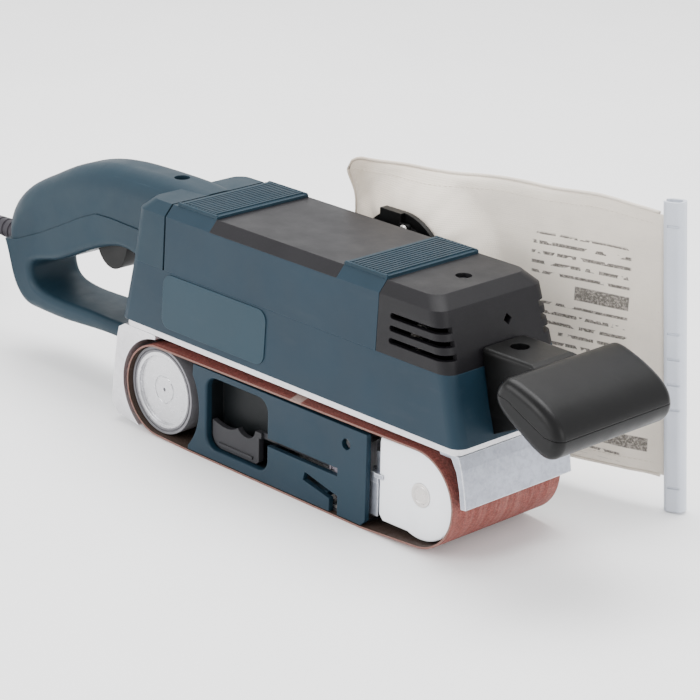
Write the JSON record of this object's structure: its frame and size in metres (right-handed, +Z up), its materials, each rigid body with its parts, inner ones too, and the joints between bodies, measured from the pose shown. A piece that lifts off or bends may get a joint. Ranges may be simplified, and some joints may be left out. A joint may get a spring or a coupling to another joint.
{
  "type": "handheld belt sander",
  "caption": "Handheld belt sander: belt over a driven rear drum and a sprung front roller, closed rear handle, front knob and a side dust bag.",
  "frame": {"origin": "centre of the sanding face, on the surface the sander rests on", "axes": "+Z up, +X forward towards the front knob, +Y to the operator's left"},
  "size_m": [0.6206, 0.1825, 0.1593],
  "materials": {
    "housing_blue": "moulded nylon, blue, fine grain",
    "band_blue": "dark blue ribbed grip moulding",
    "panel_grey": "dark grey textured plastic",
    "black_plastic": "black fine-grain plastic",
    "lever_grey": "grey moulded plastic",
    "cast_alloy": "die-cast, mottled with machined edges",
    "cap_white": "white satin plate",
    "steel": "machined steel",
    "front_roller_alloy": "turned aluminium",
    "brass": "nickel or brass pins and copper parts",
    "carbon": "carbon",
    "abrasive": "red-brown aluminium oxide cloth belt, grey-brown backing",
    "pad_graphite": "graphite cloth pad",
    "rubber": "moulded rubber",
    "rubber_black": "black cord rubber",
    "label": "plain printed plate, grey-blue",
    "cloth": "unbleached cotton bag cloth",
    "clip_grey": "light grey extruded plastic"
  },
  "bodies": {
    "root": {"ball_bearings": "steel", "base_frame": "cast_alloy", "belt_cover": "housing_blue", "brush_bracket": "panel_grey", "carbon_brushes": "carbon", "cord": "rubber_black", "cord_coil": "rubber_black", "drive_belt": "rubber", "dust_duct": "panel_grey", "front_cap": "panel_grey", "front_grip_band": "band_blue", "front_guard": "cast_alloy", "gear_housing": "cast_alloy", "handle_lower_shell": "housing_blue", "housing_screws": "steel", "knob_bracket": "black_plastic", "knob_lower_shell": "black_plastic", "knob_upper_shell": "black_plastic", "lower_housing": "housing_blue", "nameplate": "label", "pivot_pins": "steel", "platen": "steel", "platen_pad": "pad_graphite", "plug_body": "rubber_black", "plug_pins": "brass", "rear_cover": "housing_blue", "rear_grip_band": "band_blue", "rear_guard": "cast_alloy", "sanding_belt": "abrasive", "side_cover": "housing_blue", "stator": "steel", "strain_relief": "rubber_black", "switch_module": "panel_grey", "tension_spring": "steel", "top_panel": "panel_grey", "upper_housing": "housing_blue"},
    "drive_roller": {"drive_roller_sleeve": "rubber", "drive_roller_core": "steel", "drive_shaft": "steel", "large_pulley": "cast_alloy"},
    "cross_gear": {"cross_shaft": "steel", "bevel_gear": "steel", "small_pulley": "cast_alloy"},
    "armature": {"armature_shaft": "steel", "armature_core": "steel", "commutator": "brass", "cooling_fan": "black_plastic", "bevel_pinion": "steel"},
    "front_fork": {"front_fork": "cast_alloy", "fork_end_cap": "cap_white", "front_axle": "steel", "tracking_plate": "black_plastic"},
    "front_roller": {"front_roller": "front_roller_alloy"},
    "tension_lever": {"tension_lever": "lever_grey"},
    "tracking_screw": {"tracking_screw": "steel"},
    "trigger": {"trigger": "black_plastic"},
    "lock_button": {"lock_button": "panel_grey"},
    "dust_bag": {"dust_bag": "cloth", "bag_collar": "black_plastic"},
    "bag_clip": {"bag_clip": "clip_grey"}
  },
  "joints": [
    {"name": "drive_roller_spin", "type": "hinge", "parent": "root", "child": "drive_roller", "pos_m": [-0.0944, 0, 0.0258], "axis": [0, 1, 0], "continuous": true},
    {"name": "cross_gear_spin", "type": "hinge", "parent": "root", "child": "cross_gear", "pos_m": [-0.084, 0, 0.092], "axis": [0, 1, 0], "continuous": true},
    {"name": "armature_spin", "type": "hinge", "parent": "root", "child": "armature", "pos_m": [0, -0.004, 0.092], "axis": [1, 0, 0], "continuous": true},
    {"name": "front_fork_slide", "type": "slide", "parent": "root", "child": "front_fork", "axis": [1, 0, 0], "range_m": [-0.006, 0]},
    {"name": "front_roller_spin", "type": "hinge", "parent": "front_fork", "child": "front_roller", "pos_m": [0.0944, 0, 0.0278], "axis": [0, 1, 0], "continuous": true},
    {"name": "tension_lever_swing", "type": "hinge", "parent": "root", "child": "tension_lever", "pos_m": [0.0375, -0.031, 0.0237], "axis": [0, 0, 1], "range_deg": [0, 80]},
    {"name": "tracking_screw_turn", "type": "hinge", "parent": "root", "child": "tracking_screw", "pos_m": [0.0473, -0.0222, 0.0403], "axis": [0, 1, 0], "range_deg": [-360, 360]},
    {"name": "trigger_press", "type": "hinge", "parent": "root", "child": "trigger", "pos_m": [-0.1572, 0, 0.0882], "axis": [0, 1, 0], "range_deg": [0, 9]},
    {"name": "lock_button_press", "type": "slide", "parent": "root", "child": "lock_button", "axis": [0, -1, 0], "range_m": [0, 0.003]},
    {"name": "dust_bag_swivel", "type": "hinge", "parent": "root", "child": "dust_bag", "pos_m": [0, 0.0455, 0.1], "axis": [0, -1, 0], "range_deg": [0, 75]},
    {"name": "bag_clip_slide", "type": "slide", "parent": "dust_bag", "child": "bag_clip", "axis": [-0.0611, -0.029, 0.9977], "range_m": [0, 0.16]}
  ],
  "couplings": [
    {"joint": "armature_spin", "follows": "drive_roller_spin", "ratio": -9},
    {"joint": "cross_gear_spin", "follows": "drive_roller_spin", "ratio": 3},
    {"joint": "front_fork_slide", "follows": "tension_lever_swing", "m_per_rad": -0.0042972},
    {"joint": "front_roller_spin", "follows": "drive_roller_spin", "ratio": 1}
  ]
}
